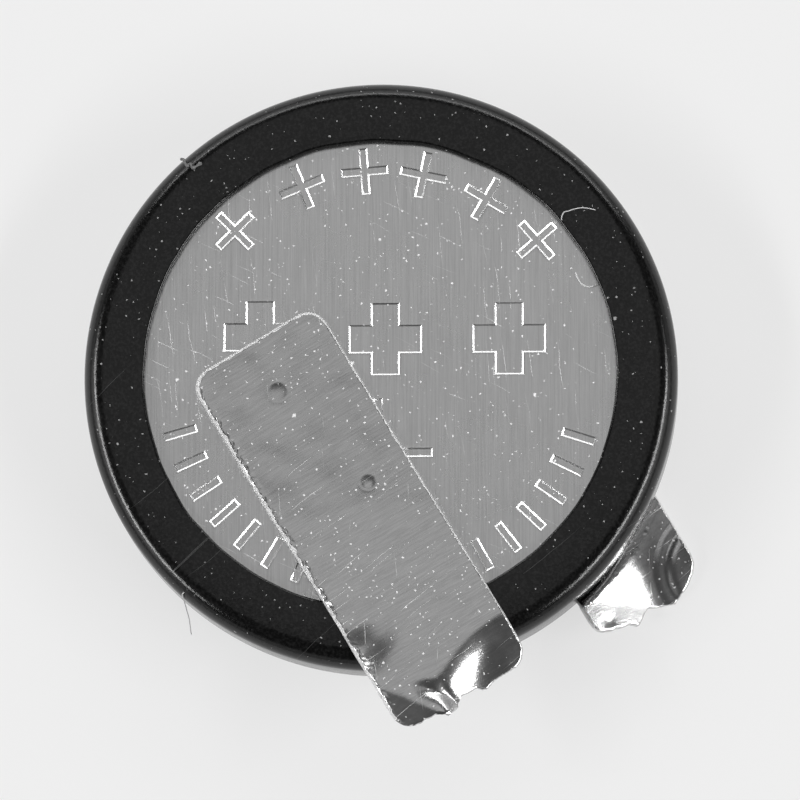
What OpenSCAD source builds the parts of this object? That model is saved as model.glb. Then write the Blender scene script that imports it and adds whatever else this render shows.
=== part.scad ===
// Round lithium cell in a shrunk film sleeve, with two welded strip tabs
// X runs along the tabs, Z up, the cell's positive face on top.
// The origin is under the middle of the whole part's box.

/* [Cell] */
// Diameter of the steel can
can_d = 12.5; // [11.5:0.1:14]
// Height of the bare cell, face to face
cell_h = 2.0; // [1.8:0.05:3.2]
// Sheet thickness of the can
can_wall = 0.18; // [0.14:0.01:0.24]
// Outer radius of the can's drawn corner
can_corner_r = 0.26; // [0.25:0.01:0.4]
// How far the crimped rim reaches in from the can's side
rim_w = 1.0; // [0.9:0.02:1.2]

/* [Cap] */
// Distance from the can's side to the edge of the cap's raised face
face_inset = 1.65; // [1.55:0.05:2]
// Sheet thickness of the cap
cap_wall = 0.18; // [0.14:0.01:0.22]
// Outer bend radius at the edge of the cap's face
face_edge_r = 0.25; // [0.23:0.01:0.3]
// Outer bend radius at the cap's shoulder
shoulder_r = 0.4; // [0.3:0.01:0.5]
// How far the cap's face stands out past the sleeve
cap_proud = 0.03; // [0.02:0.01:0.1]

/* [Gasket] */
// Thickness of the gasket between can and cap
gasket_t = 0.13; // [0.1:0.01:0.18]
// Thickness of the gasket under the cap's skirt
gasket_base_t = 0.25; // [0.2:0.01:0.35]
// How far the gasket reaches inward past the skirt
gasket_ledge = 0.45; // [0.3:0.05:0.7]
// How far the gasket shows past the crimped rim
gasket_lip = 0.25; // [0.1:0.05:0.35]

/* [Electrodes] */
// Clearance between the lithium disc and the cap round it
lithium_gap = 0.52; // [0.2:0.02:0.8]
// Thickness of the separator
separator_t = 0.12; // [0.08:0.01:0.2]
// Thickness of the collector grid
collector_t = 0.08; // [0.06:0.01:0.12]
// Distance from the pellet's edge to the collector grid's edge
collector_inset = 0.6; // [0.3:0.05:1]
// Distance between the grid's holes, centre to centre
grid_pitch = 1.2; // [1:0.1:1.6]
// Width of the bars between the grid's holes
grid_bar = 0.35; // [0.25:0.05:0.5]
// Bevel at the edge of the cathode pellet
pellet_bevel = 0.1; // [0.05:0.01:0.2]
// Clearance round the discs inside
fit_gap = 0.1; // [0.05:0.01:0.2]

/* [Sleeve] */
// Thickness of the shrunk film
sleeve_t = 0.18; // [0.12:0.01:0.2]
// How far the sleeve's lip reaches in over the can's face
lip_w = 1.15; // [0.9:0.05:1.4]
// How far the sleeve's lip reaches in under the rim
lip_low_w = 0.85; // [0.8:0.01:0.95]

/* [Tabs] */
// Width of the strips
tab_w = 3.2; // [2.6:0.1:3.6]
// Thickness of the strips
tab_t = 0.15; // [0.1:0.01:0.2]
// Corner radius at the welded end
tab_corner_r = 0.45; // [0.2:0.05:0.8]
// Distance of the welded end behind the cell's axis
tab_back = 2.03; // [1.6:0.1:2.4]
// Where the crumpled end starts, back from the sleeve's side
crumple_back = 2.23; // [2.1:0.05:2.4]
// Distance across from the axis to the positive tab
pos_side = 2.02; // [1.8:0.1:2.2]
// How far the positive tab's shoulders stand out past the sleeve
pos_out = 0.55; // [0.4:0.01:0.8]
// Distance across from the axis to the negative tab
neg_side = 2.22; // [2:0.02:2.4]
// How far the negative tab's shoulders stand out past the sleeve
neg_out = 0.72; // [0.6:0.02:1]

/* [Welds] */
// Where the first weld lies along the strip, from the axis
weld_a = -0.8; // [-1.2:0.1:-0.4]
// Where the second weld lies along the strip
weld_b = 1.85; // [1.4:0.1:2]
// How far the second weld lies off the strip's middle line
weld_off = 0.6; // [0:0.1:0.8]
// Diameter of the round weld dents
weld_d = 0.44; // [0.3:0.02:0.6]
// Depth of the round weld dents
weld_depth = 0.04; // [0.02:0.01:0.05]

/* [Damage] */
// Slope at which the positive tab's near corner falls away past its crease
near_fall = 0.38; // [0.2:0.02:0.5]
// Extra slope in the fold across that corner
fold_fall = 0.42; // [0.2:0.02:0.6]
// Slope at which the positive tab's far corner falls away
far_fall = 0.36; // [0.2:0.02:0.5]
// Depth of the dent in the positive tab's far edge
edge_dent = 0.1; // [0:0.01:0.15]
// Height to which the negative tab is pressed up where it leaves the sleeve
neg_lift = 0.33; // [0.2:0.01:0.4]
// Slope at which the negative tab falls away from the sleeve
neg_fall = 0.25; // [0.1:0.01:0.3]
// Height of the ripple across the negative tab's near corner
ripple_h = 0.09; // [0:0.01:0.12]
// Height of the negative tab's humped far side
hump_lift = 0.24; // [0.1:0.01:0.3]
// Slope across the humped far side
hump_fall = 0.42; // [0.2:0.02:0.5]
// Share of its width that the humped far side loses
pinch = 0.27; // [0.1:0.01:0.35]

/* [Hidden] */
$fn = 96;
join = 0.01;

// Heights, upward from the underside of the negative tab
face_z = tab_t;
top_z = face_z + cell_h;
crimp_z = face_z + cap_proud + sleeve_t;
shoulder_z = crimp_z + can_wall + gasket_t;
ledge_z = shoulder_z + cap_wall;
seat_z = top_z - can_wall - gasket_base_t;
separator_top_z = ledge_z + separator_t;
collector_z = top_z - can_wall - collector_t;

// Radii of the nested round pieces
can_r = can_d / 2;
can_in_r = can_r - can_wall;
skirt_r = can_in_r - gasket_t;
skirt_in_r = skirt_r - cap_wall;
rim_r = can_r - rim_w;
gasket_lip_r = rim_r - gasket_lip;
gasket_bore_r = skirt_in_r - gasket_ledge;
face_r = can_r - face_inset;
lithium_r = face_r - cap_wall - lithium_gap;
separator_r = skirt_r - shoulder_r - fit_gap;
pellet_r = gasket_bore_r - fit_gap;
collector_r = pellet_r - collector_inset;
crimp_in_r = shoulder_r + gasket_t;
crimp_r = crimp_in_r + can_wall;
sleeve_r = can_r + sleeve_t;
open_r = can_r - lip_w;
open_low_r = can_r - lip_low_w;

// Lengths along the strips, from the cell's axis
crumple_from = sleeve_r - crumple_back;
pos_reach = sleeve_r + pos_out;
neg_reach = sleeve_r + neg_out;

// Torn end of each strip: place across, and reach past the shoulders
POS_TORN = [[-1.17, 0.05], [-0.78, 0.07], [-0.55, 0.23], [-0.37, 0.16], [-0.14, -0.05], [0.02, -0.06],
  [0.14, -0.02], [0.26, -0.06], [0.35, 0.03], [0.5, 0.07], [0.71, 0]];
NEG_TORN = [[-1.6, 0.12], [-1.26, 0.04], [-0.91, 0.09], [-0.6, 0.12], [-0.375, 0.24], [0, 0.03],
  [0.16, 0.01], [0.75, 0.21], [0.85, 0.17], [1.1, 0.06], [1.3, -0.02]];
pos_far_r = 0.5;
pos_near_r = 0.45;
neg_far_r = 0.45;
neg_near_r = 0.55;
across_steps = 36;
along_steps = 20;

// Reach of the whole part, which the origin's place follows
tip_x = neg_reach + max([for (p = NEG_TORN) p[1]]);
axis_x = (sleeve_r - tip_x) / 2;

// Line along which the positive tab lifts to clear the sleeve's lip
lip_clear = 0.01;
lip_far = [sqrt(open_r ^ 2 - (pos_side + tab_w / 2) ^ 2), -pos_side - tab_w / 2];
lip_near = [sqrt(open_r ^ 2 - (pos_side - tab_w / 2) ^ 2), -pos_side + tab_w / 2];
bend_skew = atan2(lip_near[0] - lip_far[0], lip_near[1] - lip_far[1]);
bend_x = weld_b + weld_d / 2 + 0.35;
lift_run = (lip_far[0] - bend_x) * cos(bend_skew) - (lip_far[1] + pos_side) * sin(bend_skew);
lift_deg = atan((sleeve_t + lip_clear) / lift_run);

function ramp(t) = t <= 0 ? 0 : t >= 1 ? 1 : t * t * (3 - 2 * t);
function bump(t) = exp(-t * t);

// Amount that a rounded shoulder takes off the strip's end at a place across
function corner_cut(y, r) = y <= tab_w / 2 - r ? 0 : r - sqrt(max(0, r ^ 2 - (y - tab_w / 2 + r) ^ 2));
function end_x(y, reach, torn, far_r, near_r) =
  reach + lookup(y, torn) - corner_cut(y, near_r) - corner_cut(-y, far_r);

// Line that turns from level to a slope of one, rounded over a width w
function hinge(t, w) = (t + sqrt(t ^ 2 + w ^ 2)) / 2;

// Positive tab's crumpled end: two corners fall away past creases that meet at the notch, the near
// one with a second fold across it, and the far edge is dented
function pos_height(x, y) =
  let (side = ramp((y + 0.62) / 0.34),
    near = 0.93 * (x - pos_reach + 1.15 - 0.4 * hinge(tab_w / 2 - 0.75 - y, 0.2)),
    far = 0.6 * (x - pos_reach + 0.93) - 0.8 * (y + tab_w / 2 - 0.165),
    fold = ramp((tab_w / 2 - 0.4 - y) / 0.9) * (hinge(near - 0.28, 0.08) - hinge(near - 0.62, 0.08)),
    dent = bump(norm([x - pos_reach + 2.03, 0.72 * (y + tab_w / 2)]) / 0.36))
  -ramp((x - crumple_from) / 0.5)
    * (side * (near_fall * hinge(near - 0.04, 0.08) + fold_fall * fold)
      + (1 - side) * far_fall * hinge(far, 0.08) + edge_dent * dent);
function pos_point(x, y) = [x, y, pos_height(x, y)];

// Negative tab's crumpled end: pressed up round the sleeve's lower edge, clear of it by the gap
// that the flat strip has there, then falling away, with its far side humped up and drawn in
hug_mid = can_r - crimp_r;
hug_r = crimp_z + crimp_r - tab_t / 2;
hump_y = 0.3;
ripple_mid = [neg_reach - 0.02, 1.94];
function neg_room(r) =
  r <= hug_mid ? 0 : r >= hug_mid + hug_r ? 2 * hug_r : hug_r - sqrt(hug_r ^ 2 - (r - hug_mid) ^ 2);
function neg_across(x, y) =
  y > hump_y ? y : hump_y - (hump_y - y) * (1 - pinch * ramp((x - sleeve_r + 1.23) / 1.1));
function neg_free(x, y) =
  let (r = norm([x, y + neg_side]),
    ripple = 1.35 - norm([x, y] - ripple_mid),
    near = neg_lift - neg_fall * (r - sleeve_r) + ripple_h * ramp((ripple - 0.2) / 0.26)
      + ripple_h / 3 * ramp((ripple + 0.04) / 0.12),
    lobe = 0.857 * (x - sleeve_r + 0.11) - 0.515 * (y + 1.02),
    far = hump_lift - 0.26 * (x - sleeve_r - 0.07) - hump_fall * (y - 0.28) + 0.16 * hinge(lobe, 0.08))
  max(near, 0) + hinge(far - max(near, 0), 0.05);
function neg_height(x, y) =
  let (free = neg_free(x, y), room = neg_room(norm([x, y + neg_side])))
  max(0, free - hinge(free - room, 0.12));
function neg_point(x, y) = let (across = neg_across(x, y)) [x, across, neg_height(x, across)];

// Filled half section of a round piece, with a rounded upper and lower edge
module half_section(r, low, high, high_r, low_r) {
  translate([0, low + low_r]) square([r, high - low - high_r - low_r]);
  if (low_r > 0) {
    translate([0, low]) square([r - low_r, low_r + join]);
    translate([r - low_r, low + low_r]) circle(low_r);
  }
  if (high_r > 0) {
    translate([0, high - high_r - join]) square([r - high_r, high_r + join]);
    translate([r - high_r, high - high_r]) circle(high_r);
  }
}

module ring_cut(r, low, high) {
  translate([-1, low]) square([r + 1, high - low]);
}

// Everything stands on the cell's axis, which lies behind the origin
module on_axis() {
  translate([axis_x, 0, 0]) children();
}

module turned() {
  on_axis() rotate_extrude() children();
}

module can_outside(more) {
  half_section(can_r + more, crimp_z - more, top_z + more, can_corner_r + more, crimp_r + more);
}

module can_inside() {
  half_section(can_in_r, crimp_z + can_wall, top_z - can_wall, can_corner_r - can_wall, crimp_in_r);
}

module cap_skirt_outside() {
  half_section(skirt_r, shoulder_z, seat_z, 0, shoulder_r);
}

// Drawn can: flat stamped face on top, its lower rim crimped in over the gasket
module positive_can() {
  color("silver") turned() difference() {
    can_outside(0);
    can_inside();
    ring_cut(rim_r, crimp_z - join, crimp_z + can_wall + join);
  }
}

// Moulded gasket: fills the gap from the crimped rim, round the cap's skirt, to the can's face
module gasket() {
  color("whitesmoke") turned() difference() {
    can_inside();
    cap_skirt_outside();
    ring_cut(gasket_lip_r, crimp_z, shoulder_z + join);
    ring_cut(gasket_bore_r, shoulder_z, top_z);
  }
}

// Pressed cap: raised face below, a shoulder, and a skirt that stands in the gasket
module negative_cap() {
  color("lightgray") turned() difference() {
    union() {
      half_section(face_r, face_z, ledge_z, 0, face_edge_r);
      cap_skirt_outside();
    }
    half_section(face_r - cap_wall, face_z + cap_wall, ledge_z + join, 0, face_edge_r - cap_wall);
    half_section(skirt_in_r, ledge_z, seat_z + join, 0, shoulder_r - cap_wall);
  }
}

module lithium_disc() {
  color("gainsboro") on_axis() translate([0, 0, face_z + cap_wall])
    cylinder(r = lithium_r, h = ledge_z - face_z - cap_wall);
}

module separator() {
  color("ivory") on_axis() translate([0, 0, ledge_z]) cylinder(r = separator_r, h = separator_t);
}

module cathode_pellet() {
  color("dimgray") turned() difference() {
    translate([0, separator_top_z]) square([pellet_r, collector_z - separator_top_z]);
    translate([pellet_r, separator_top_z]) rotate(45) square(pellet_bevel * sqrt(2), center = true);
    translate([pellet_r, collector_z]) rotate(45) square(pellet_bevel * sqrt(2), center = true);
  }
}

// Steel grid that joins the pellet to the can's face
module collector_grid() {
  hole = grid_pitch - grid_bar;
  reach = collector_r - grid_bar - hole / sqrt(2);
  count = floor(reach / grid_pitch);
  color("darkgray") on_axis() translate([0, 0, collector_z]) difference() {
    cylinder(r = collector_r, h = collector_t);
    for (i = [-count:count], j = [-count:count])
      if (norm([i, j]) * grid_pitch <= reach)
        translate([i * grid_pitch - hole / 2, j * grid_pitch - hole / 2, -join])
          cube([hole, hole, collector_t + 2 * join]);
  }
}

// Shrunk film round the can, with a lip over the face and another under the rim
module sleeve() {
  color("#1c1c1e") turned() difference() {
    can_outside(sleeve_t);
    can_outside(0);
    ring_cut(open_r, top_z - can_corner_r, top_z + sleeve_t + join);
    ring_cut(open_low_r, crimp_z - sleeve_t - join, top_z - can_corner_r - join);
  }
}

// Flat outline of a strip, from its rounded welded end to where it crumples
module strip_outline() {
  r = tab_corner_r;
  translate([-tab_back + r, -tab_w / 2]) square([crumple_from + tab_back - r, tab_w]);
  translate([-tab_back, -tab_w / 2 + r]) square([r + join, tab_w - 2 * r]);
  for (side = [-1, 1])
    translate([-tab_back + r, side * (tab_w / 2 - r)]) circle(r);
}

// Sheet of even thickness whose middle surface is given point by point as rows across the strip
module crumpled_sheet(rows) {
  nx = len(rows[0]) - 1;
  ny = len(rows) - 1;
  normals = [for (j = [0:ny]) [for (i = [0:nx])
    let (du = rows[j][min(i + 1, nx)] - rows[j][max(i - 1, 0)],
      dv = rows[min(j + 1, ny)][i] - rows[max(j - 1, 0)][i],
      n = i == 0 ? [0, 0, 1] : cross(du, dv))
    n / norm(n)]];
  layer = [for (s = [0, 1]) for (j = [0:ny]) for (i = [0:nx])
    rows[j][i] + [0, 0, tab_t / 2] + (s - 0.5) * tab_t * normals[j][i]];
  m = nx + 1;
  n = (nx + 1) * (ny + 1);
  top = [for (j = [0:ny - 1]) for (i = [0:nx - 1])
    each [[n + j * m + i, n + (j + 1) * m + i, n + (j + 1) * m + i + 1],
      [n + j * m + i, n + (j + 1) * m + i + 1, n + j * m + i + 1]]];
  under = [for (j = [0:ny - 1]) for (i = [0:nx - 1])
    each [[j * m + i, (j + 1) * m + i + 1, (j + 1) * m + i],
      [j * m + i, j * m + i + 1, (j + 1) * m + i + 1]]];
  rim = concat([for (i = [0:nx]) i], [for (j = [1:ny]) j * m + nx],
    [for (i = [nx - 1:-1:0]) ny * m + i], [for (j = [ny - 1:-1:1]) j * m]);
  side = [for (k = [0:len(rim) - 1])
    let (a = rim[k], b = rim[(k + 1) % len(rim)])
    each [[a, n + a, n + b], [a, n + b, b]]];
  polyhedron(layer, concat(top, under, side), convexity = 6);
}

// Rows of middle points for the positive and the negative strip's end
function across_at(j) = -tab_w / 2 * cos(180 * j / across_steps);
function along_at(i, y, end) = crumple_from + (end - crumple_from) * (i / along_steps) ^ 0.75;
function pos_rows() = [for (j = [0:across_steps])
  let (y = across_at(j), end = end_x(y, pos_reach, POS_TORN, pos_far_r, pos_near_r))
  [for (i = [0:along_steps]) pos_point(along_at(i, y, end), y)]];
function neg_rows() = [for (j = [0:across_steps])
  let (y = across_at(j), end = end_x(y, neg_reach, NEG_TORN, neg_far_r, neg_near_r))
  [for (i = [0:along_steps]) neg_point(along_at(i, y, end), y)]];

// Round dents that spot welding left in a strip's outer face, at height z, facing up or down
module weld_dents(z, up) {
  ball_r = (weld_d ^ 2 / 4 + weld_depth ^ 2) / (2 * weld_depth);
  for (spot = [[weld_a, 0], [weld_b, up * weld_off]])
    translate([spot[0], spot[1], z + up * (ball_r - weld_depth)]) sphere(ball_r);
}

// Half plane on one side of the positive tab's bend line: -1 the welded side, 1 the free one
module bend_side(side) {
  translate([bend_x, 0]) rotate(-bend_skew) translate([side < 0 ? -20 : 0, -10]) square([20, 20]);
}

module positive_tab() {
  color("silver") on_axis() translate([0, -pos_side, top_z]) difference() {
    union() {
      linear_extrude(tab_t) intersection() {
        strip_outline();
        bend_side(-1);
      }
      translate([bend_x, 0, 0]) rotate([0, 0, -bend_skew]) rotate([0, -lift_deg, 0])
        rotate([0, 0, bend_skew]) translate([-bend_x, 0, 0]) {
          linear_extrude(tab_t) intersection() {
            strip_outline();
            bend_side(1);
          }
          crumpled_sheet(pos_rows());
        }
    }
    weld_dents(tab_t, 1);
  }
}

module negative_tab() {
  color("silver") on_axis() translate([0, neg_side, 0]) difference() {
    union() {
      linear_extrude(tab_t) strip_outline();
      crumpled_sheet(neg_rows());
    }
    weld_dents(0, -1);
  }
}

positive_can();
gasket();
negative_cap();
lithium_disc();
separator();
cathode_pellet();
collector_grid();
sleeve();
positive_tab();
negative_tab();
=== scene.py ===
# %% [markdown]
# The model is a round lithium cell with two torn strip tabs. Its solids come in as a fixed
# frame, and nothing here moves them. Every piece made below takes its size and place from the
# boxes of the solids that it stands for, so that the looks and the construction stay one object.

# %% Load the frame
import math

import bpy
import numpy as np
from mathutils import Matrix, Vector
from mathutils.geometry import delaunay_2d_cdt
from mathutils.noise import noise as smooth_noise


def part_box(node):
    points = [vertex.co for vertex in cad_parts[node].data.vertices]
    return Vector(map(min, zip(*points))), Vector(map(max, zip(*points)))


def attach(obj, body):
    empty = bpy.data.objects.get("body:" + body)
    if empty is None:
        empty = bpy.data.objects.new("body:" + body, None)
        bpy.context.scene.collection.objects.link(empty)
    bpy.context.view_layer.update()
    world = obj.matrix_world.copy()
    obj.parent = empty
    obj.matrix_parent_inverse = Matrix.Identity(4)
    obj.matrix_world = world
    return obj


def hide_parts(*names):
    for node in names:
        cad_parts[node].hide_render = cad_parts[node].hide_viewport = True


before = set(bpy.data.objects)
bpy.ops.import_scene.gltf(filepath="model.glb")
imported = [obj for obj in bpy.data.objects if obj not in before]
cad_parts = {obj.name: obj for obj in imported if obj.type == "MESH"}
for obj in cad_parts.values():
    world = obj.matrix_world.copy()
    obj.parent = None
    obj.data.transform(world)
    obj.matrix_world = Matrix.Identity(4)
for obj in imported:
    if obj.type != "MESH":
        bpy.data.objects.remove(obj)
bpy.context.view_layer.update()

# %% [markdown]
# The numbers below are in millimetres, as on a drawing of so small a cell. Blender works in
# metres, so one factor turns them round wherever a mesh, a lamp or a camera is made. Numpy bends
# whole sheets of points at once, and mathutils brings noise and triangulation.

MM = 0.001
print("solids in the frame:", ", ".join(sorted(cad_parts)))

# %% [markdown]
# A drawn can, a pressed cap and a shrunk film are all turned shapes, so a few heights and radii
# say nearly everything about them. They are read from the solids in millimetres. Sheet
# thicknesses and bend radii can't be read from a box, so those are named here.

# %% Measures of the cell, in millimetres
def box_mm(node):
    low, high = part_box(node)
    return np.array(low) / MM, np.array(high) / MM


can_low, can_high = box_mm("positive_can")
film_low, film_high = box_mm("sleeve")
cap_low, cap_high = box_mm("negative_cap")

AXIS_X = (can_low[0] + can_high[0]) / 2
CAN_R = (can_high[0] - can_low[0]) / 2
FILM_R = (film_high[0] - film_low[0]) / 2
FILM_T = FILM_R - CAN_R
CAP_R = (cap_high[0] - cap_low[0]) / 2
FACE_Z = cap_low[2]
TOP_Z = can_high[2]
CRIMP_Z = can_low[2]
SEAT_Z = cap_high[2]

SHEET = 0.18
CAN_CORNER = 0.26
SHOULDER_BEND = 0.4
CRIMP_BEND = SHOULDER_BEND + CAN_R - CAP_R
RIM_R = CAN_R - 1.0
LIP_R = CAN_R - 1.15
LOW_LIP_R = CAN_R - 0.85
FACE_R = CAN_R - 1.65
LEDGE_Z = CRIMP_Z + CAN_R - CAP_R + SHEET
HUB_R = 0.4              # innermost ring of a turned piece, closed by a fan of triangles
print(f"can {2 * CAN_R:.2f} mm, film {FILM_T:.2f} mm, height {film_high[2] - FACE_Z:.2f} mm")

# %% [markdown]
# The camera stands almost straight above the cell and looks down from the end that the tabs
# point to. A long lens keeps the round face nearly round. The picture's width is given as a real
# length on the cell's face, and the lens follows from it.

# %% Camera
CAMERA_HEADING = 74.0
CAMERA_HEIGHT = 80.9
PICTURE_UP = 149.0
PICTURE_WIDTH = 17.28
CAMERA_DISTANCE = 162.0
AIM = Vector((0.22, 0.08, TOP_Z))


def aim_camera():
    a, e = math.radians(CAMERA_HEADING), math.radians(CAMERA_HEIGHT)
    back = Vector((math.sin(a) * math.cos(e), -math.cos(a) * math.cos(e), math.sin(e)))
    up = Vector((math.cos(math.radians(PICTURE_UP)), math.sin(math.radians(PICTURE_UP)), 0))
    up = (up - up.dot(back) * back).normalized()
    right = up.cross(back)
    data = bpy.data.cameras.new("camera")
    data.sensor_width = 36.0
    data.lens = data.sensor_width * CAMERA_DISTANCE / PICTURE_WIDTH
    data.clip_start, data.clip_end = 10 * MM, 10000 * MM
    camera = bpy.data.objects.new("camera", data)
    bpy.context.scene.collection.objects.link(camera)
    matrix = camera.matrix_world
    for column, axis in enumerate((right, up, back)):
        for row in range(3):
            matrix[row][column] = axis[row]
    camera.matrix_world = matrix
    camera.location = (AIM + back * CAMERA_DISTANCE) * MM
    bpy.context.scene.camera = camera
    return camera


camera = aim_camera()
print(f"lens {camera.data.lens:.0f} mm at {CAMERA_DISTANCE:.0f} mm from the face")

# %% [markdown]
# Metal this smooth shows its surroundings, so the light is built as what a light tent shows it:
# a dim panel overhead, a darker gap round it, and white panels low at the sides and the back.
# A thin bright tube above each of those gives the film its narrow highlights and lights up the
# dust. A large panel as bright as that would turn the film white from a low angle. A dim band
# close to the floor runs all the way round, so that the metal isn't black from any side. Each
# panel is an area lamp, with its width and depth in degrees as seen from the cell. Its
# brightness is given as seen too, where 1 is white, and its area gives its power.

# %% Light
PANEL_DISTANCE = 600.0


def soft_panel(name, heading, height, width, depth, brightness):
    data = bpy.data.lights.new(name, "AREA")
    data.shape = "RECTANGLE"
    data.size = 2 * PANEL_DISTANCE * MM * math.tan(math.radians(width / 2))
    data.size_y = 2 * PANEL_DISTANCE * MM * math.tan(math.radians(depth / 2))
    data.energy = brightness * math.pi * data.size * data.size_y
    lamp = bpy.data.objects.new(name, data)
    bpy.context.scene.collection.objects.link(lamp)
    a, e = math.radians(heading), math.radians(height)
    out = Vector((math.cos(a) * math.cos(e), math.sin(a) * math.cos(e), math.sin(e)))
    lamp.location = out * PANEL_DISTANCE * MM
    lamp.rotation_mode = "QUATERNION"
    lamp.rotation_quaternion = out.to_track_quat("Z", "Y")
    return lamp


RIGHT_SIDE = PICTURE_UP - 90
soft_panel("panel_overhead", PICTURE_UP, 74, 32, 30, 0.39)
for side, heading in (("right", RIGHT_SIDE - 16), ("left", RIGHT_SIDE + 192)):
    soft_panel(f"panel_{side}", heading, 28, 46, 24, 1.1)
    soft_panel(f"tube_{side}", heading, 38, 46, 6, 17.0)
soft_panel("panel_back", PICTURE_UP, 25, 80, 22, 1.0)
soft_panel("tube_back", PICTURE_UP, 34, 80, 5, 6.0)
for turn in (0, 90, 180, 270):
    soft_panel(f"low_band_{turn}", PICTURE_UP + turn, 13, 90, 20, 0.45)
print("lamps:", len(bpy.data.lights))

# %% [markdown]
# Every piece ends as a mesh object, and every finish as a material with one Principled shader.
# Small helpers make those, link two sockets, and do one sum of a node tree in one line, so that
# the later cells only say what is special about each piece.

# %% Mesh and material helpers
def link(tree, source, target):
    tree.links.new(source, target)


def math_node(tree, operation, *values, clamp=False):
    node = tree.nodes.new("ShaderNodeMath")
    node.operation = operation
    node.use_clamp = clamp
    for socket, value in zip(node.inputs, values):
        if isinstance(value, (int, float)):
            socket.default_value = value
        else:
            link(tree, value, socket)
    return node.outputs[0]


def new_material(name):
    material = bpy.data.materials.new(name)
    material.use_nodes = True
    tree = material.node_tree
    tree.nodes.clear()
    output = tree.nodes.new("ShaderNodeOutputMaterial")
    shader = tree.nodes.new("ShaderNodeBsdfPrincipled")
    tree.links.new(shader.outputs["BSDF"], output.inputs["Surface"])
    return material, tree, shader


def mesh_object(name, points, faces):
    mesh = bpy.data.meshes.new(name)
    mesh.from_pydata([tuple(p) for p in np.asarray(points) * MM], [], faces)
    mesh.validate()
    mesh.update()
    piece = bpy.data.objects.new(name, mesh)
    bpy.context.scene.collection.objects.link(piece)
    return piece


# %% [markdown]
# The floor is a plain pale sheet. A light table under it would make it glow evenly, so part of
# its paleness is its own glow, seen by the camera and in reflections only. The rest is plain
# matt grey, which keeps the cell's soft shadow. The world round it is a plain dim grey.

# %% Floor and world
FLOOR_SIZE = 2000.0
FLOOR_DROP = 0.02
FLOOR_GREY, FLOOR_GLOW = 0.24, 0.635
WORLD_GREY = 0.06


def lay_floor():
    half = FLOOR_SIZE / 2
    corners = [(-half, -half, 0), (half, -half, 0), (half, half, 0), (-half, half, 0)]
    floor = mesh_object("floor", corners, [(0, 1, 2, 3)])
    floor.location.z = -FLOOR_DROP * MM
    material, tree, shader = new_material("pale_floor")
    shader.inputs["Base Color"].default_value = (FLOOR_GREY, FLOOR_GREY, FLOOR_GREY, 1)
    shader.inputs["Roughness"].default_value = 0.9
    shader.inputs["Specular IOR Level"].default_value = 0.0
    shader.inputs["Emission Color"].default_value = (1, 1, 1, 1)
    path = tree.nodes.new("ShaderNodeLightPath")
    seen = path.outputs["Is Camera Ray"]
    for name in ("Is Glossy Ray", "Is Transmission Ray"):
        seen = math_node(tree, "MAXIMUM", seen, path.outputs[name])
    glow = math_node(tree, "MULTIPLY", seen, FLOOR_GLOW)
    link(tree, glow, shader.inputs["Emission Strength"])
    floor.data.materials.append(material)
    return floor


lay_floor()
world = bpy.data.worlds.new("dim_world")
world.use_nodes = True
background = world.node_tree.nodes["Background"]
background.inputs["Color"].default_value = (WORLD_GREY, WORLD_GREY, WORLD_GREY, 1)
bpy.context.scene.world = world
bpy.context.scene.view_settings.view_transform = "Standard"
print(f"floor {FLOOR_SIZE / 1000:.0f} m wide, {FLOOR_DROP} mm below the cell")

# %% [markdown]
# Turned pieces are lathed: a half section with rounded corners is spun round the cell's axis.
# One helper rounds the corners of a polyline, another spins it, and a third closes its middle.
# The real dies are turned like this too, and it keeps every bend truly round.

# %% Lathe
TURN_STEPS = 240
BEND_STEPS = 10


def rounded(corners):
    """Polyline of (r, z) from corners given as (r, z, bend radius)."""
    out = []
    count = len(corners)
    for i, (r, z, bend) in enumerate(corners):
        here = np.array([r, z])
        if bend <= 0:
            out.append(here)
            continue
        before = np.array(corners[i - 1][:2]) - here
        after = np.array(corners[(i + 1) % count][:2]) - here
        before, after = before / np.linalg.norm(before), after / np.linalg.norm(after)
        half = math.acos(np.clip(before @ after, -1, 1)) / 2
        middle = here + (before + after) / np.linalg.norm(before + after) * bend / math.sin(half)
        start = here + before * bend / math.tan(half) - middle
        end = here + after * bend / math.tan(half) - middle
        a0, a1 = math.atan2(start[1], start[0]), math.atan2(end[1], end[0])
        turn = (a1 - a0 + math.pi) % (2 * math.pi) - math.pi
        for k in range(BEND_STEPS + 1):
            a = a0 + turn * k / BEND_STEPS
            out.append(middle + bend * np.array([math.cos(a), math.sin(a)]))
    return np.array(out)


def turn_angles():
    return np.arange(TURN_STEPS) * 2 * math.pi / TURN_STEPS


def spin(profile, closed, wobble=None):
    """Rings of points from a section; wobble moves (r, z) of a ring at each angle."""
    angles = turn_angles()
    points = []
    for index, (r, z) in enumerate(profile):
        radius, height = np.full(TURN_STEPS, r), np.full(TURN_STEPS, z)
        if wobble:
            radius, height = wobble(index, radius, height, angles)
        ring = [AXIS_X + radius * np.cos(angles), radius * np.sin(angles), height]
        points.append(np.stack(ring, axis=1))
    faces = []
    rings = len(profile)
    for i in range(rings if closed else rings - 1):
        a, b = i * TURN_STEPS, (i + 1) % rings * TURN_STEPS
        for k in range(TURN_STEPS):
            n = (k + 1) % TURN_STEPS
            faces.append((a + k, a + n, b + n, b + k))
    return np.concatenate(points), faces


def close_middle(points, faces, ring, z, flip=False):
    """Fan of triangles from a ring to the axis at height z."""
    points.append((AXIS_X, 0, z))
    for k in range(TURN_STEPS):
        a, b = ring * TURN_STEPS + k, ring * TURN_STEPS + (k + 1) % TURN_STEPS
        faces.append((b, a, len(points) - 1) if flip else (a, b, len(points) - 1))
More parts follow.
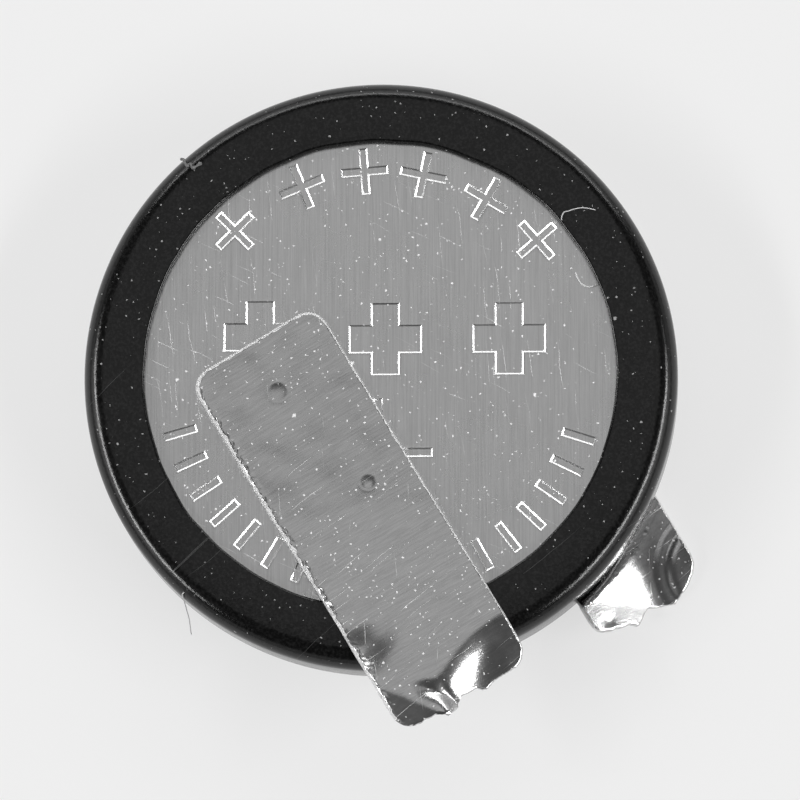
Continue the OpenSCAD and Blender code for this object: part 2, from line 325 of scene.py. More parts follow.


# %% [markdown]
# A finished piece is shaded smooth up to a sharpest angle, so that bends look round and cut edges
# stay crisp. It gets its material, rides on the cell's one body, and hides the solid that it
# stands for. One helper does all that.

# %% Finishing a piece
def finish_piece(piece, node, material, sharp=40):
    for polygon in piece.data.polygons:
        polygon.use_smooth = True
    piece.data.set_sharp_from_angle(angle=math.radians(sharp))
    piece.data.materials.clear()
    piece.data.materials.append(material)
    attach(piece, "root")
    if node:
        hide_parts(node)
    print(f"{piece.name}: {len(piece.data.polygons)} faces")
    return piece


# %% [markdown]
# Metal, film and felt all need the same few effects: a brushed grain, fine scratches and dust.
# Each is one node group with named inputs. It works in millimetres on the object's own
# coordinates, so the grain keeps its real size on every piece. First come the helpers that make
# a group, a vector sum or a change of range in one line each.

# %% Node helpers
def new_group(name, inputs, outputs):
    """Node group from {input: (kind, value)} and {output: kind}, with its two end nodes."""
    tree = bpy.data.node_groups.new(name, "ShaderNodeTree")
    for label, (kind, value) in inputs.items():
        socket = tree.interface.new_socket(name=label, in_out="INPUT", socket_type=kind)
        if value is not None:
            socket.default_value = value
    for label, kind in outputs.items():
        tree.interface.new_socket(name=label, in_out="OUTPUT", socket_type=kind)
    return tree, tree.nodes.new("NodeGroupInput"), tree.nodes.new("NodeGroupOutput")


def vector_node(tree, operation, *values):
    node = tree.nodes.new("ShaderNodeVectorMath")
    node.operation = operation
    for socket, value in zip(node.inputs, values):
        if isinstance(value, tuple):
            socket.default_value = value
        else:
            link(tree, value, socket)
    return node.outputs[0]


def map_range(tree, value, low, high, to_low, to_high, smooth=True):
    node = tree.nodes.new("ShaderNodeMapRange")
    node.interpolation_type = "SMOOTHSTEP" if smooth else "LINEAR"
    for socket, entry in zip(node.inputs, (value, low, high, to_low, to_high)):
        if isinstance(entry, (int, float)):
            socket.default_value = entry
        else:
            link(tree, entry, socket)
    return node.outputs[0]


def turned_and_scaled(tree, vector, heading, along, across):
    """Vector turned so that heading lies along X, then scaled along and across it."""
    turn = tree.nodes.new("ShaderNodeVectorRotate")
    turn.rotation_type = "Z_AXIS"
    link(tree, vector, turn.inputs["Vector"])
    link(tree, math_node(tree, "MULTIPLY", heading, -math.pi / 180), turn.inputs["Angle"])
    size = tree.nodes.new("ShaderNodeCombineXYZ")
    link(tree, along, size.inputs[0])
    link(tree, across, size.inputs[1])
    link(tree, across, size.inputs[2])
    return vector_node(tree, "MULTIPLY", turn.outputs[0], size.outputs[0])


# %% [markdown]
# Brushing leaves long thin marks. Noise looks brushed when its space is turned to the brushing's
# direction and then squeezed along it, so one group makes brushed steel, film and felt alike:
# equal scales along and across give plain cloudy noise.

# %% Grain
def make_grain_group():
    tree, start, end = new_group(
        "brushed_grain",
        {"Vector": ("NodeSocketVector", None), "Heading": ("NodeSocketFloat", 0.0),
         "Along": ("NodeSocketFloat", 0.5), "Across": ("NodeSocketFloat", 20.0),
         "Detail": ("NodeSocketFloat", 4.0)},
        {"Value": "NodeSocketFloat"})
    stretch = [start.outputs[k] for k in ("Vector", "Heading", "Along", "Across")]
    vector = turned_and_scaled(tree, *stretch)
    noise = tree.nodes.new("ShaderNodeTexNoise")
    noise.inputs["Scale"].default_value = 1.0
    link(tree, start.outputs["Detail"], noise.inputs["Detail"])
    noise.inputs["Roughness"].default_value = 0.65
    link(tree, vector, noise.inputs["Vector"])
    link(tree, noise.outputs[0], end.inputs["Value"])
    return tree


GRAIN = make_grain_group()
print(f"{GRAIN.name}: {len(GRAIN.nodes)} nodes")

# %% [markdown]
# A scratch is a short thin line. Voronoi noise cuts the surface into cells, and the place within
# its own cell tells how far a point lies along and beside the cell's middle. A narrow band about
# it is the scratch. A slow noise bends the lines a little, and only some cells keep theirs.

# %% Scratches
def make_scratch_group():
    tree, start, end = new_group(
        "fine_scratches",
        {"Vector": ("NodeSocketVector", None), "Heading": ("NodeSocketFloat", 0.0),
         "Along": ("NodeSocketFloat", 0.6), "Across": ("NodeSocketFloat", 3.0),
         "Width": ("NodeSocketFloat", 0.02), "Kept": ("NodeSocketFloat", 0.5)},
        {"Mask": "NodeSocketFloat"})
    wander = tree.nodes.new("ShaderNodeTexNoise")
    wander.inputs["Scale"].default_value = 0.7
    link(tree, start.outputs["Vector"], wander.inputs["Vector"])
    bent = vector_node(tree, "MULTIPLY_ADD", wander.outputs[1], (0.25, 0.25, 0.0),
                       start.outputs["Vector"])
    stretch = [start.outputs[k] for k in ("Heading", "Along", "Across")]
    vector = turned_and_scaled(tree, bent, *stretch)
    cells = tree.nodes.new("ShaderNodeTexVoronoi")
    cells.inputs["Scale"].default_value = 1.0
    link(tree, vector, cells.inputs["Vector"])
    offset = vector_node(tree, "SUBTRACT", vector, cells.outputs["Position"])
    split = tree.nodes.new("ShaderNodeSeparateXYZ")
    link(tree, offset, split.inputs[0])
    reach = math_node(tree, "ABSOLUTE", split.outputs[0])
    aside = math_node(tree, "ABSOLUTE", split.outputs[1])
    colour = tree.nodes.new("ShaderNodeSeparateColor")
    link(tree, cells.outputs["Color"], colour.inputs[0])
    short = map_range(tree, reach, 0.15, 0.45, 1.0, 0.0)
    thin = map_range(tree, aside, 0.0, start.outputs["Width"], 1.0, 0.0)
    kept = math_node(tree, "LESS_THAN", colour.outputs[0], start.outputs["Kept"])
    mask = math_node(tree, "MULTIPLY", math_node(tree, "MULTIPLY", short, thin), kept)
    link(tree, mask, end.inputs["Mask"])
    return tree


SCRATCHES = make_scratch_group()
print(f"{SCRATCHES.name}: {len(SCRATCHES.nodes)} nodes")

# %% [markdown]
# Dust sticks as small ragged dots of many sizes. Here the distance to the middle of a Voronoi
# cell gives the dot, the cell's random colour gives its size and says whether it is kept, and a
# fine noise makes its outline ragged.

# %% Dust
def make_dust_group():
    tree, start, end = new_group(
        "dust_specks",
        {"Vector": ("NodeSocketVector", None), "Density": ("NodeSocketFloat", 2.0),
         "Size": ("NodeSocketFloat", 0.06), "Kept": ("NodeSocketFloat", 0.5)},
        {"Mask": "NodeSocketFloat"})
    ragged = tree.nodes.new("ShaderNodeTexNoise")
    ragged.inputs["Scale"].default_value = 22.0
    link(tree, start.outputs["Vector"], ragged.inputs["Vector"])
    place = vector_node(tree, "MULTIPLY_ADD", ragged.outputs[1], (0.07, 0.07, 0.07),
                        start.outputs["Vector"])
    cells = tree.nodes.new("ShaderNodeTexVoronoi")
    link(tree, start.outputs["Density"], cells.inputs["Scale"])
    link(tree, place, cells.inputs["Vector"])
    colour = tree.nodes.new("ShaderNodeSeparateColor")
    link(tree, cells.outputs["Color"], colour.inputs[0])
    size = math_node(tree, "MULTIPLY", colour.outputs[1], start.outputs["Size"])
    near = math_node(tree, "MULTIPLY", size, 0.6)
    round_mask = map_range(tree, cells.outputs["Distance"], near, size, 1.0, 0.0)
    kept = math_node(tree, "LESS_THAN", colour.outputs[0], start.outputs["Kept"])
    link(tree, math_node(tree, "MULTIPLY", round_mask, kept), end.inputs["Mask"])
    return tree


DUST = make_dust_group()
print(f"{DUST.name}: {len(DUST.nodes)} nodes")

# %% [markdown]
# A material uses an effect by placing its group and setting the named inputs. The coordinates are
# the object's own, turned to millimetres. A mask then picks a grey between two levels, or lifts
# the surface by a depth in millimetres.

# %% Using the effects
def place_group(tree, group, vector, **values):
    node = tree.nodes.new("ShaderNodeGroup")
    node.node_tree = group
    link(tree, vector, node.inputs["Vector"])
    for label, value in values.items():
        node.inputs[label].default_value = value
    return node.outputs[0]


def object_mm(tree):
    """The object's own coordinates in millimetres."""
    place = tree.nodes.new("ShaderNodeTexCoord")
    return vector_node(tree, "MULTIPLY", place.outputs["Object"], (1 / MM, 1 / MM, 1 / MM))


def grey(tree, level):
    colour = tree.nodes.new("ShaderNodeCombineColor")
    for socket in colour.inputs:
        link(tree, level, socket)
    return colour.outputs[0]


def shade_mix(tree, mask, low, high):
    """Grey between two levels by a mask."""
    return grey(tree, map_range(tree, mask, 0.0, 1.0, low, high, smooth=False))


def add_bump(tree, shader, height, depth_mm):
    bump = tree.nodes.new("ShaderNodeBump")
    bump.inputs["Strength"].default_value = 1.0
    bump.inputs["Distance"].default_value = depth_mm * MM
    link(tree, height, bump.inputs["Height"])
    link(tree, bump.outputs["Normal"], shader.inputs["Normal"])


# %% [markdown]
# The can's face is nickel-plated steel with a fine straight brushing. The reflection is smeared
# across the brushing, which a bump of long thin noise gives. Scratches and dust are masks: a
# scratch is paler and rougher metal, and a speck of dust is a pale matt dot that isn't metal. The
# strips are softer nickel and lie in gentle dimples, so they take a wide, shallow bump as well.

# %% Metal
BRUSH_HEADING = PICTURE_UP
STRIP_GRAIN_HEADING = 90.0


def metal(name, level, heading, length, roughness, grain_depth, dusty, dimpled=1.0):
    """Brushed metal; length is that of the brush marks in millimetres."""
    material, tree, shader = new_material(name)
    place = object_mm(tree)
    fine = place_group(tree, GRAIN, place, Heading=heading, Along=0.5 / length, Across=26.0)
    broad = place_group(tree, GRAIN, place, Heading=heading, Along=0.25, Across=2.2)
    cloud = place_group(tree, GRAIN, place, Heading=0.0, Along=0.45, Across=0.45)
    marks = place_group(tree, SCRATCHES, place, Heading=heading + 64, Along=1.3, Across=3.0,
                        Width=0.018, Kept=0.22)
    more = place_group(tree, SCRATCHES, place, Heading=heading + 8, Along=0.7, Across=3.4,
                       Width=0.018, Kept=0.4)
    specks = place_group(tree, DUST, place, Density=3.0, Size=0.17, Kept=dusty * 0.2)
    crumbs = place_group(tree, DUST, place, Density=10.0, Size=0.27, Kept=dusty)
    dimples = place_group(tree, GRAIN, place, Heading=0.0, Along=1.6, Across=1.6, Detail=0.0)
    gather = map_range(tree, cloud, 0.45, 0.6, 0.3, 1.0)
    lines = math_node(tree, "MULTIPLY", math_node(tree, "MAXIMUM", marks, more), gather)
    dust = math_node(tree, "MAXIMUM", specks, crumbs)
    tone = math_node(tree, "MULTIPLY", cloud, 0.25)
    tone = math_node(tree, "MULTIPLY_ADD", broad, 0.1, tone)
    tone = math_node(tree, "MULTIPLY_ADD", fine, 0.65, tone)
    tone = map_range(tree, tone, 0.3, 0.7, level - 0.13, level + 0.13, smooth=False)
    tone = math_node(tree, "MULTIPLY_ADD", lines, 0.5, tone)
    tone = math_node(tree, "MULTIPLY_ADD", dust, 0.3, tone, clamp=True)
    link(tree, grey(tree, tone), shader.inputs["Base Color"])
    link(tree, math_node(tree, "MULTIPLY_ADD", dust, -0.85, 1.0), shader.inputs["Metallic"])
    rough = map_range(tree, cloud, 0.3, 0.7, roughness - 0.05, roughness + 0.06, smooth=False)
    rough = math_node(tree, "MULTIPLY_ADD", dust, 0.4, rough)
    rough = math_node(tree, "MULTIPLY_ADD", lines, 0.45, rough, clamp=True)
    link(tree, rough, shader.inputs["Roughness"])
    height = math_node(tree, "MULTIPLY", broad, 0.3)
    for value, share in ((fine, 0.7), (lines, -0.25), (dimples, dimpled)):
        height = math_node(tree, "MULTIPLY_ADD", value, share, height)
    add_bump(tree, shader, height, grain_depth)
    return material


FACE_METAL = metal("brushed_can_steel", 0.8, BRUSH_HEADING, 0.9, 0.28, 0.004, 0.55)
STRIP_METAL = metal("strip_nickel", 0.69, STRIP_GRAIN_HEADING, 0.3, 0.23, 0.003, 0.8, dimpled=8.0)
CAP_METAL = metal("satin_cap_steel", 0.75, BRUSH_HEADING + 40, 1.2, 0.32, 0.003, 0.1)
GRID_METAL = metal("punched_grid_steel", 0.6, 0.0, 1.0, 0.35, 0.002, 0.0)
LITHIUM_METAL = metal("rolled_lithium", 0.7, 20.0, 1.0, 0.5, 0.01, 0.0)
print("materials:", len(bpy.data.materials))

# %% [markdown]
# The film is black plastic that heat shrank tight. It is smooth, with a skin that wavers a little,
# so it mirrors the tubes as narrow bright lines. Its black is a base colour close to nothing, and
# what pale there is comes from a faint mottle, dust and a few scuffs.

# %% Film
def film():
    material, tree, shader = new_material("shrunk_black_film")
    place = object_mm(tree)
    cloud = place_group(tree, GRAIN, place, Heading=0.0, Along=0.8, Across=0.8)
    skin = place_group(tree, GRAIN, place, Heading=0.0, Along=16.0, Across=16.0)
    scuffs = place_group(tree, SCRATCHES, place, Heading=100.0, Along=0.4, Across=1.6,
                         Width=0.01, Kept=0.14)
    specks = place_group(tree, DUST, place, Density=2.6, Size=0.13, Kept=0.12)
    crumbs = place_group(tree, DUST, place, Density=10.0, Size=0.26, Kept=0.32)
    dust = math_node(tree, "MAXIMUM", specks, crumbs)
    pale = math_node(tree, "MAXIMUM", math_node(tree, "MULTIPLY", dust, 0.6),
                     math_node(tree, "MULTIPLY", scuffs, 0.12))
    mottle = map_range(tree, skin, 0.42, 0.68, 0.0, 0.016)
    link(tree, shade_mix(tree, math_node(tree, "MAXIMUM", pale, mottle), 0.002, 0.6),
         shader.inputs["Base Color"])
    rough = map_range(tree, cloud, 0.3, 0.7, 0.12, 0.2, smooth=False)
    link(tree, math_node(tree, "MULTIPLY_ADD", dust, 0.5, rough, clamp=True),
         shader.inputs["Roughness"])
    shader.inputs["IOR"].default_value = 1.5
    shader.inputs["Specular IOR Level"].default_value = 0.45
    add_bump(tree, shader, math_node(tree, "MULTIPLY_ADD", cloud, 3.0, skin), 0.003)
    return material


FILM = film()
print(f"{FILM.name}: {len(FILM.node_tree.nodes)} nodes")

# %% [markdown]
# The other finishes are simple: moulded plastic, felt, pressed powder, lint, and the torn look of
# a sheared edge. Each is a grey that wanders between two levels with a small bump of its own. The
# sheared edge is rough metal, so it averages what is round it and shows as a light line.

# %% Plain finishes
def plain(name, low, high, roughness, fineness, depth, metallic=0.0):
    """Finish whose grey wanders between two levels."""
    material, tree, shader = new_material(name)
    shader.inputs["Metallic"].default_value = metallic
    place = object_mm(tree)
    cloud = place_group(tree, GRAIN, place, Heading=30.0, Along=fineness, Across=fineness * 1.4)
    link(tree, shade_mix(tree, cloud, low, high), shader.inputs["Base Color"])
    shader.inputs["Roughness"].default_value = roughness
    add_bump(tree, shader, cloud, depth)
    return material


GASKET_PLASTIC = plain("gasket_plastic", 0.62, 0.8, 0.45, 2.0, 0.002)
FELT = plain("felt_paper", 0.7, 0.95, 0.95, 30.0, 0.02)
PELLET = plain("pressed_black_powder", 0.02, 0.07, 0.9, 18.0, 0.02)
SHEARED_EDGE = plain("sheared_edge", 0.6, 1.0, 0.62, 24.0, 0.03, metallic=1.0)
PALE_LINT = plain("pale_lint", 0.6, 0.8, 0.7, 20.0, 0.002)
DARK_LINT = plain("dark_lint", 0.05, 0.3, 0.6, 30.0, 0.01)
FILM_FOLD = plain("film_fold", 0.02, 0.05, 0.4, 6.0, 0.002)
print("materials:", len(bpy.data.materials))

# %% [markdown]
# The can's face carries pressed marks. A die leaves a groove with sloping walls and a low raised
# lip, so each mark is a set of loops at set heights, and the face is triangulated round them.
# Walls that lean by 30 degrees show the low panels, so they shine as they do on the real face.
# Each step below is how far its loop lies outside the mark's outline, and its height.

# %% Outlines of the marks
LIP_RISE = 0.003
GROOVE_DEPTH = 0.016
LOOP_STEPS = ((0.07, 0.0), (0.04, 0.0), (0.01, LIP_RISE), (-0.023, -GROOVE_DEPTH))


def plus_outline(arm, half, grow):
    """Corners of a plus sign: arm length and half width, grown by an amount."""
    a, h = arm + grow, half + grow
    return [(a, -h), (a, h), (h, h), (h, a), (-h, a), (-h, h), (-a, h), (-a, -h), (-h, -h),
            (-h, -a), (h, -a), (h, -h)]


def bar_outline(long, half, grow):
    a, h = long + grow, half + grow
    return [(a, -h), (a, h), (-a, h), (-a, -h)]


def from_picture(right, up):
    """X and Y, from the axis, of what lies at picture-right and picture-up of it."""
    h = math.radians(PICTURE_UP)
    return right * math.sin(h) + up * math.cos(h), -right * math.cos(h) + up * math.sin(h)


def set_on_face(outline, right, up, turn):
    """Outline turned and placed at picture-right and picture-up of the axis."""
    c, s = math.cos(math.radians(turn)), math.sin(math.radians(turn))
    return [from_picture(right + x * c - y * s, up + x * s + y * c) for x, y in outline]


wall_run = LOOP_STEPS[2][0] - LOOP_STEPS[3][0]
wall_lean = math.degrees(math.atan2(LIP_RISE + GROOVE_DEPTH, wall_run))
print(f"groove walls lean by {wall_lean:.0f} degrees")

# %% [markdown]
# The marks are plain plus signs and bars: an arc of each near the rim, a row of larger plus signs
# across the middle, and one wide thin plus sign below it that the upper strip nearly hides.

# %% Layout of the marks
PLUS_ARC_R, PLUS_ANGLES = 4.48, (134.8, 112.4, 94.4, 77.9, 59.1, 40.8)
BAR_ARC_R, BAR_COUNT, BAR_FIRST, BAR_STEP = 4.5, 18, -164, 8.6
LARGE_PLUS_PLACES = ((-2.6, 0.84), (0.11, 0.78), (2.79, 0.78))


def face_loops():
    """List of (loop, height) for all marks."""
    marks = []
    for angle in PLUS_ANGLES:
        a = math.radians(angle)
        marks.append((plus_outline, 0.5, 0.085, PLUS_ARC_R * math.cos(a),
                      PLUS_ARC_R * math.sin(a), angle - 90))
    for k in range(BAR_COUNT):
        angle = BAR_FIRST + BAR_STEP * k
        a = math.radians(angle)
        marks.append((bar_outline, 0.36, 0.085, BAR_ARC_R * math.cos(a),
                      BAR_ARC_R * math.sin(a), angle))
    for right, up in LARGE_PLUS_PLACES:
        marks.append((plus_outline, 0.78, 0.3, right, up, 0))
    marks.append((plus_outline, 1.17, 0.09, -0.05, -1.7, 0))
    return [(set_on_face(outline(long, half, grow), right, up, turn), z)
            for outline, long, half, right, up, turn in marks for grow, z in LOOP_STEPS]


print("loops on the face:", len(face_loops()))

# %% [markdown]
# The can is drawn from one disc of sheet. Its wall and its crimp are lathed, and the flat face is
# then laid in as triangles between the lathe's first ring and the loops of the marks. Shading is
# smooth up to 15 degrees only, or the groove floors would shade into their walls.

# %% Can
DISC_R = CAN_R - 0.45


def make_can():
    t = SHEET
    section = rounded([
        (DISC_R, TOP_Z, 0), (CAN_R, TOP_Z, CAN_CORNER), (CAN_R, CRIMP_Z, CRIMP_BEND),
        (RIM_R, CRIMP_Z, 0.05), (RIM_R, CRIMP_Z + t, 0.05),
        (CAN_R - t, CRIMP_Z + t, CRIMP_BEND - t), (CAN_R - t, TOP_Z - t, CAN_CORNER - t),
        (HUB_R, TOP_Z - t, 0)])
    points, faces = spin(section, closed=False)
    points = list(points)
    close_middle(points, faces, len(section) - 1, TOP_Z - t)
    flat = [tuple(p[:2]) for p in points[:TURN_STEPS]]
    heights = [0.0] * TURN_STEPS
    edges = [(k, (k + 1) % TURN_STEPS) for k in range(TURN_STEPS)]
    for loop, z in face_loops():
        start = len(flat)
        flat += [(AXIS_X + x, y) for x, y in loop]
        heights += [z] * len(loop)
        edges += [(start + k, start + (k + 1) % len(loop)) for k in range(len(loop))]
    result = delaunay_2d_cdt([Vector(p) for p in flat], edges, [], 0, 1e-6)
    index = []
    for place, origin in zip(result[0], result[3]):
        if origin and origin[0] < TURN_STEPS:
            index.append(origin[0])
            continue
        index.append(len(points))
        points.append((place.x, place.y, TOP_Z + (heights[origin[0]] if origin else 0)))
    faces += [tuple(index[k] for k in face) for face in result[2]]
    can = mesh_object("can", points, faces)
    return finish_piece(can, "positive_can", FACE_METAL, sharp=15)


make_can()

# %% [markdown]
# The film was shrunk on, so its two lips follow the can's shoulders. A knife cut it, so their
# edges wander a little: noise read round a circle moves the rings near each lip in and out.

# %% Film sleeve
LIP_WANDER, LIP_JITTER = 0.03, 0.006


def make_sleeve():
    section = rounded([
        (LIP_R, TOP_Z, 0), (LIP_R, TOP_Z + FILM_T, 0.07),
        (FILM_R, TOP_Z + FILM_T, CAN_CORNER + FILM_T),
        (FILM_R, CRIMP_Z - FILM_T, CRIMP_BEND + FILM_T), (LOW_LIP_R, CRIMP_Z - FILM_T, 0.07),
        (LOW_LIP_R, CRIMP_Z, 0), (CAN_R, CRIMP_Z, CRIMP_BEND), (CAN_R, TOP_Z, CAN_CORNER)])

    def wander(index, radius, height, angles):
        r, z = section[index]
        upper = z > TOP_Z - 0.02 and r < LIP_R + 0.2
        lower = z < CRIMP_Z + 0.02 and r < LOW_LIP_R + 0.2
        if upper or lower:
            for k, a in enumerate(angles):
                place = Vector((math.cos(a) * 6, math.sin(a) * 6, 3.0 if upper else 9.0))
                radius[k] += LIP_WANDER * smooth_noise(place)
                radius[k] += LIP_JITTER * smooth_noise(place * 9)
        return radius, height

    points, faces = spin(section, closed=True, wobble=wander)
    return finish_piece(mesh_object("film", points, faces), "sleeve", FILM)


make_sleeve()

# %% [markdown]
# The cap is the cell's other pole, pressed from sheet with a raised face, a shoulder and a skirt.
# It shows only from below. Its half section is lathed, and a fan closes each side of its middle.

# %% Negative cap
def make_cap():
    t = SHEET
    section = rounded([
        (HUB_R, FACE_Z, 0), (FACE_R, FACE_Z, 0.25), (FACE_R, LEDGE_Z - t, 0.06),
        (CAP_R, LEDGE_Z - t, SHOULDER_BEND), (CAP_R, SEAT_Z, 0.03), (CAP_R - t, SEAT_Z, 0.03),
        (CAP_R - t, LEDGE_Z, SHOULDER_BEND - t), (FACE_R - t, LEDGE_Z, 0.06),
        (FACE_R - t, FACE_Z + t, 0.07), (HUB_R, FACE_Z + t, 0)])
    points, faces = spin(section, closed=False)
    points = list(points)
    close_middle(points, faces, 0, FACE_Z, flip=True)
    close_middle(points, faces, len(section) - 1, FACE_Z + t)
    return finish_piece(mesh_object("cap", points, faces), "negative_cap", CAP_METAL)


make_cap()

# %% [markdown]
# The gasket keeps the two poles apart. The crimp squeezes it, so it fills the room between can
# and cap, with a lip over the cap's shoulder and a foot at the end of its skirt.

# %% Gasket
LIP_REACH, FOOT_REACH = 0.63, 0.7


def make_gasket():
    t = SHEET
    wall, top = CAN_R - t, TOP_Z - t
    lip, foot = CAP_R - LIP_REACH, CAP_R - FOOT_REACH
    section = rounded([
        (lip, CRIMP_Z + t, 0.05), (lip, LEDGE_Z - t, 0), (CAP_R, LEDGE_Z - t, SHOULDER_BEND),
        (CAP_R, SEAT_Z, 0), (foot, SEAT_Z, 0), (foot, top, 0),
        (wall, top, CAN_CORNER - t), (wall, CRIMP_Z + t, CRIMP_BEND - t)])
    points, faces = spin(section, closed=True)
    seal = mesh_object("seal", points, faces)
    return finish_piece(seal, "gasket", GASKET_PLASTIC)


make_gasket()

# %% [markdown]
# Each strip is one thin sheet of nickel. Its middle surface is a function of the place along and
# across the strip. It is nearly the same function as in the construction, with a few small extra
# folds that are too fine for the solid. First come the strips' measures, how steep and deep each
# fold is, and the torn ends' outlines: a place across, and how far the metal goes past its reach.

# %% Strip measures
STRIP_W, STRIP_T, STRIP_BACK, STRIP_CORNER = 3.2, 0.15, 2.03, 0.45
TOP_SIDE, UNDER_SIDE = 2.02, 2.22
TOP_REACH, UNDER_REACH = FILM_R + 0.55, FILM_R + 0.72
CRUMPLE_FROM = FILM_R - 2.23
BEND_X = 2.42
BEND_SKEW = math.radians(24.97)
LIFT = math.radians(6.24)
BEND_SOFT = 0.3
HUG_MID, HUG_R = CAN_R - CRIMP_BEND, CRIMP_Z + CRIMP_BEND - STRIP_T / 2
HUMP_Y, PINCH = 0.3, 0.27
NEAR_FALL, FAR_FALL, FOLD_FALL = 0.38, 0.36, 0.42
EDGE_DENT, TROUGH_DEPTH = 0.13, 0.09
UNDER_LIFT, UNDER_FALL, RIPPLE_RISE = 0.33, 0.25, 0.09
HUMP_LIFT, HUMP_FALL, LOBE_RISE, SPOT_DEPTH = 0.24, 0.42, 0.1, 0.022
TOP_TORN = np.array([
    [-1.17, 0.05], [-0.78, 0.07], [-0.55, 0.23], [-0.37, 0.16], [-0.14, -0.05], [0.02, -0.06],
    [0.14, -0.02], [0.26, -0.06], [0.35, 0.03], [0.5, 0.07], [0.71, 0]])
UNDER_TORN = np.array([
    [-1.6, 0.12], [-1.26, 0.04], [-0.91, 0.09], [-0.6, 0.12], [-0.375, 0.24], [0, 0.03],
    [0.16, 0.01], [0.75, 0.21], [0.85, 0.17], [1.1, 0.06], [1.3, -0.02]])
print(f"strips reach {TOP_REACH:.2f} and {UNDER_REACH:.2f} mm from the axis")

# %% [markdown]
# Crumpled metal is flat facets that meet in soft creases. A few small functions make those: a
# ramp between two levels, a swell about a place and a hinge. Two more cut the strips' ends.

# %% Shape functions
def ramp(t):
    t = np.clip(t, 0, 1)
    return t * t * (3 - 2 * t)


def swell(t):
    return np.exp(-t * t)


def hinge(t, w=0.08):
    """Flat before zero, rising by one in one after it, over a crease of width w."""
    return (t + np.sqrt(t * t + w * w)) / 2


def corner_cut(y, r):
    deep = np.maximum(y - STRIP_W / 2 + r, 0)
    return r - np.sqrt(np.maximum(r * r - deep * deep, 0))


def torn_end(y, reach, torn, far_r, near_r):
    end = reach + np.interp(y, torn[:, 0], torn[:, 1])
    return end - corner_cut(y, near_r) - corner_cut(-y, far_r)


# %% [markdown]
# The upper strip's torn end falls away past two slanting creases, one towards each corner, and
# has a fold between them. Before that, the whole strip bends up a little along a skewed line,
# because it has to clear the film's lip. The bend is a true arc, so the strip keeps its length.

# %% Upper strip's surface
def top_height(x, y):
    """Corners that fall away past creases, with a fold, a trough between them and an edge dent."""
    side = ramp((y + 0.62) / 0.34)
    near = 0.93 * (x - TOP_REACH + 1.15 - 0.4 * hinge(STRIP_W / 2 - 0.75 - y, 0.2))
    far = 0.6 * (x - TOP_REACH + 0.93) - 0.8 * (y + STRIP_W / 2 - 0.165)
    fold = ramp((STRIP_W / 2 - 0.4 - y) / 0.9) * (hinge(near - 0.28) - hinge(near - 0.58, 0.22))
    dent = swell(np.hypot(x - TOP_REACH + 1.95, 0.8 * (y + STRIP_W / 2 - 0.1)) / 0.42)
    trough = swell((far + 0.4) / 0.19) * ramp((x - TOP_REACH + 0.85) / 0.5)
    trough *= 1 - ramp((y + 0.35) / 0.3)
    fall = side * NEAR_FALL * hinge(near - 0.04) + (1 - side) * FAR_FALL * hinge(far)
    fall += FOLD_FALL * fold * ramp((y + 0.36) / 0.34)
    return -ramp((x - CRUMPLE_FROM) / 0.5) * (fall + EDGE_DENT * dent + TROUGH_DEPTH * trough)


def top_middle(x, y):
    """Middle surface of the upper strip, lifted past its diagonal bend to clear the film."""
    h = top_height(x, y) + STRIP_T / 2
    c, s = math.cos(BEND_SKEW), math.sin(BEND_SKEW)
    out, side = (x - BEND_X) * c - y * s, (x - BEND_X) * s + y * c
    w = BEND_SOFT
    part = np.clip((out + w) / (2 * w), 0, 1)
    past = np.maximum(out - w, 0)
    flat = np.minimum(out + w, 0)
    angle = LIFT * part
    run = -w + flat + 2 * w / LIFT * np.sin(angle) + past * math.cos(LIFT)
    rise = 2 * w / LIFT * (1 - np.cos(angle)) + past * math.sin(LIFT)
    run, rise = run - h * np.sin(angle), rise + h * np.cos(angle)
    return np.stack([AXIS_X + BEND_X + run * c + side * s, -TOP_SIDE - run * s + side * c,
                     TOP_Z + rise], axis=-1)


# %% [markdown]
# The lower strip comes out from under the cell crumpled: a facet with arcs in it like ripples,
# and a hump. Where the film's round edge is above it, the metal can't rise past that, so its
# height is the lower of the free shape and the room left, joined softly.

# %% Lower strip's surface
def under_free(x, y):
    """Height of the lower strip where nothing presses on it: a rippled facet and a hump."""
    r = np.hypot(x, y + UNDER_SIDE)
    ripple = 1.35 - np.hypot(x - UNDER_REACH + 0.02, y - 1.94)
    near = UNDER_LIFT - UNDER_FALL * (r - FILM_R) + RIPPLE_RISE * ramp((ripple - 0.2) / 0.26)
    near = np.maximum(near + 0.03 * ramp((ripple + 0.04) / 0.12), 0)
    lobe = 0.857 * (x - FILM_R + 0.11) - 0.515 * (y + 1.02)
    far = HUMP_LIFT - 0.26 * (x - FILM_R - 0.07) - HUMP_FALL * (y - 0.28)
    far += LOBE_RISE * hinge(lobe)
    spot = swell(np.hypot(x - FILM_R - 0.57, y + 0.73) / 0.13)
    return near + hinge(far - near, 0.05) - SPOT_DEPTH * spot


def under_middle(x, y):
    """Middle surface of the lower strip, pressed up round the film's lower edge."""
    narrow = 1 - PINCH * ramp((x - FILM_R + 1.23) / 1.1)
    across = np.where(y > HUMP_Y, y, HUMP_Y - (HUMP_Y - y) * narrow)
    past = np.hypot(x, across + UNDER_SIDE) - HUG_MID
    deep = np.clip(past, 0, HUG_R)
    room = np.where(past >= HUG_R, 2 * HUG_R, HUG_R - np.sqrt(HUG_R ** 2 - deep ** 2))
    free = under_free(x, across)
    height = np.maximum(free - hinge(free - room, 0.12), 0)
    return np.stack([AXIS_X + x, UNDER_SIDE + across, STRIP_T / 2 + height], axis=-1)


# %% [markdown]
# A sheet is sampled on a grid that follows its outline, closer together near the long edges. The
# shear that cut it left the edges slightly uneven, and noise along each edge gives that. The
# grid's points are then moved along the surface's own normal, by half the thickness each way.

# %% Grid and thickness of a sheet
ACROSS_STEPS, ALONG_STEPS, EDGE_BEVEL = 84, 280, 0.025


def noise_along(places, scale, row, seed):
    return np.array([smooth_noise(Vector((p * scale, row, seed))) for p in places])


